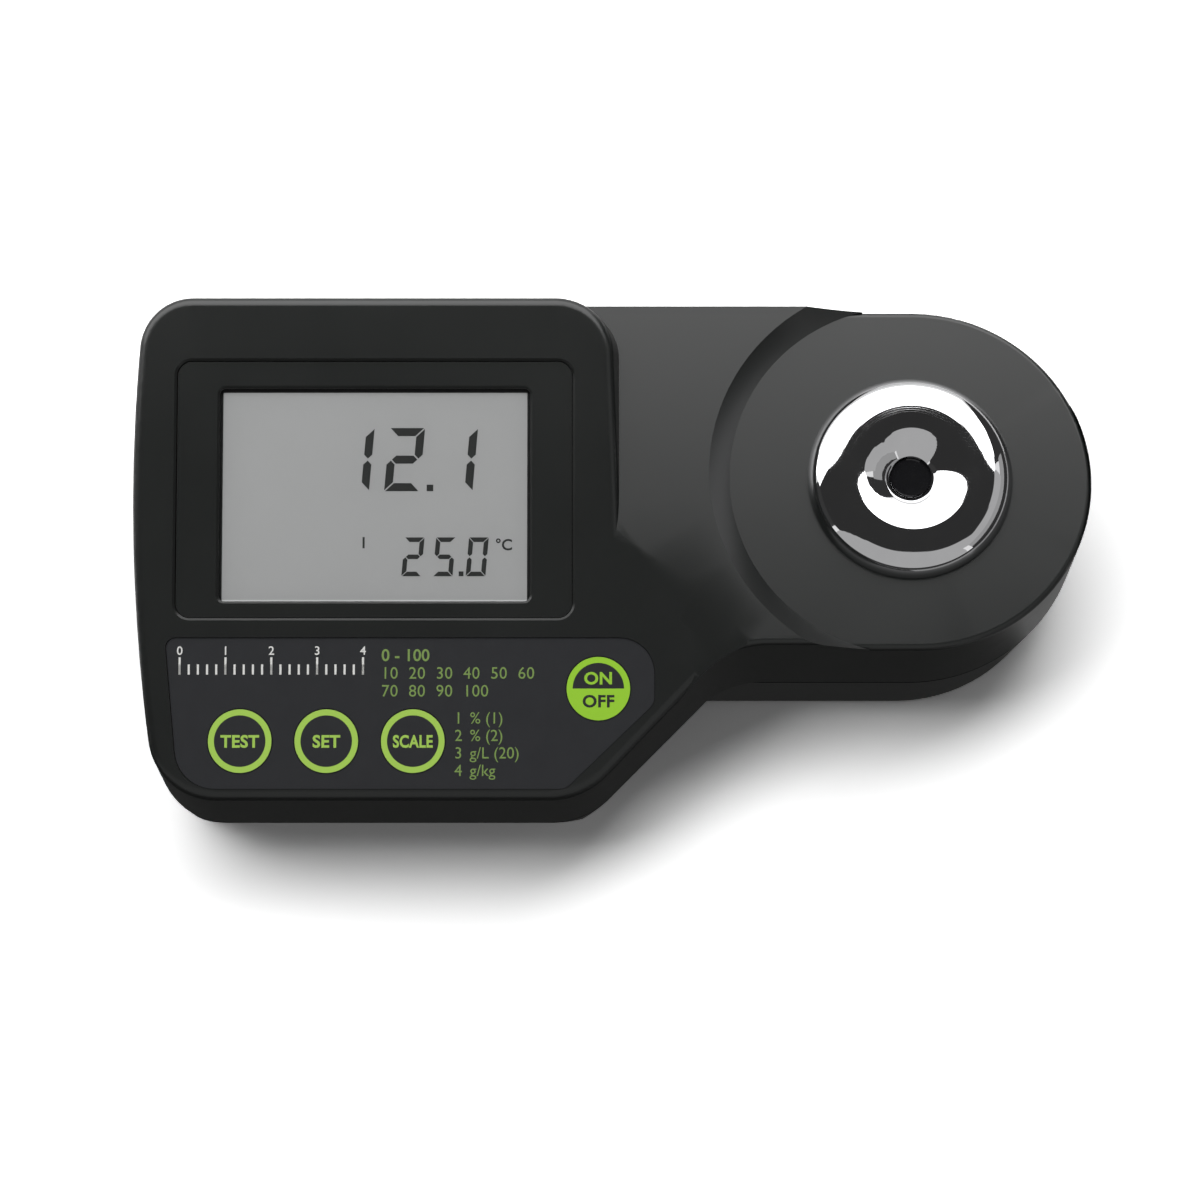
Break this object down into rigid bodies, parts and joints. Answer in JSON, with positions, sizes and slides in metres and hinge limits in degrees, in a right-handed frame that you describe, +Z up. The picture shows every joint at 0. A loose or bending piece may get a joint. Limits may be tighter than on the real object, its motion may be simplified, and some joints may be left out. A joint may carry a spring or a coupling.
{
  "type": "digital refractometer",
  "caption": "Bench digital refractometer with a round steel sample well on a head at one side and a sloping panel with a display and round keys at the other.",
  "frame": {"origin": "centre of the bounding box at the bench, under the rubber feet", "axes": "+X from the display towards the sample well, +Y to the back, +Z up"},
  "size_m": [0.1926, 0.101, 0.0668],
  "materials": {
    "case_plastic": "fine-textured black moulding",
    "seal_rubber": "matt black rubber",
    "foot_rubber": "dark grey rubber",
    "screw_steel": "plain steel",
    "bezel_plastic": "smooth black moulding",
    "window_plastic": "clear flat pane",
    "lcd_face": "grey reflective display",
    "holder_plastic": "grey-black moulding",
    "overlay_film": "satin printed film",
    "key_face": "black face with a green ring",
    "power_key_face": "half black and half green face with a green ring",
    "circuit_board": "green solder mask",
    "chip_plastic": "black moulded packages",
    "battery_can": "plain wrapped can",
    "lead_insulation": "insulated wire",
    "polished_steel": "mirror-polished stainless steel",
    "brass_nut": "plain turned brass",
    "prism_glass": "polished optical glass",
    "optics_black": "light-absorbing black",
    "lamp_resin": "clear amber resin",
    "ribbon_film": "amber flexible film"
  },
  "bodies": {
    "case": {"upper_case": "case_plastic", "lower_case": "case_plastic", "case_gasket": "seal_rubber", "case_screws": "screw_steel", "rubber_feet": "foot_rubber", "display_bezel": "bezel_plastic", "display_window": "window_plastic", "lcd_glass": "lcd_face", "lcd_holder": "holder_plastic", "contact_strips": "seal_rubber", "keypad_overlay": "overlay_film", "key_switches": "holder_plastic", "main_board": "circuit_board", "board_parts": "chip_plastic", "board_screws": "screw_steel", "battery": "battery_can", "battery_snap": "holder_plastic", "battery_leads": "lead_insulation", "sample_well_ring": "polished_steel", "well_gasket": "seal_rubber", "well_clamp_nut": "brass_nut", "prism": "prism_glass", "prism_seal": "seal_rubber", "optical_block": "optics_black", "light_board": "circuit_board", "light_emitter": "lamp_resin", "light_lens": "prism_glass", "sensor_board": "circuit_board", "image_sensor": "chip_plastic", "optics_screws": "screw_steel", "temperature_bead": "brass_nut", "sensor_ribbon": "ribbon_film", "light_ribbon": "ribbon_film"},
    "battery_cover_body": {"battery_cover": "case_plastic", "battery_cover_seal": "seal_rubber", "battery_foam": "seal_rubber"},
    "key_one_body": {"key_one": "key_face"},
    "key_two_body": {"key_two": "key_face"},
    "key_three_body": {"key_three": "key_face"},
    "key_power_body": {"key_power": "power_key_face"}
  },
  "joints": [
    {"name": "key_one_press", "type": "slide", "parent": "case", "child": "key_one_body", "axis": [0, 0.1564, -0.9877], "range_m": [0, 0.0004], "stiffness_N_per_m": 2500},
    {"name": "key_two_press", "type": "slide", "parent": "case", "child": "key_two_body", "axis": [0, 0.1564, -0.9877], "range_m": [0, 0.0004], "stiffness_N_per_m": 2500},
    {"name": "key_three_press", "type": "slide", "parent": "case", "child": "key_three_body", "axis": [0, 0.1564, -0.9877], "range_m": [0, 0.0004], "stiffness_N_per_m": 2500},
    {"name": "key_power_press", "type": "slide", "parent": "case", "child": "key_power_body", "axis": [0, 0.1564, -0.9877], "range_m": [0, 0.0004], "stiffness_N_per_m": 2500},
    {"name": "battery_cover_turn", "type": "hinge", "parent": "case", "child": "battery_cover_body", "pos_m": [-0.048, 0.002, 0.0028], "axis": [0, 0, -1], "range_deg": [0, 50]}
  ]
}
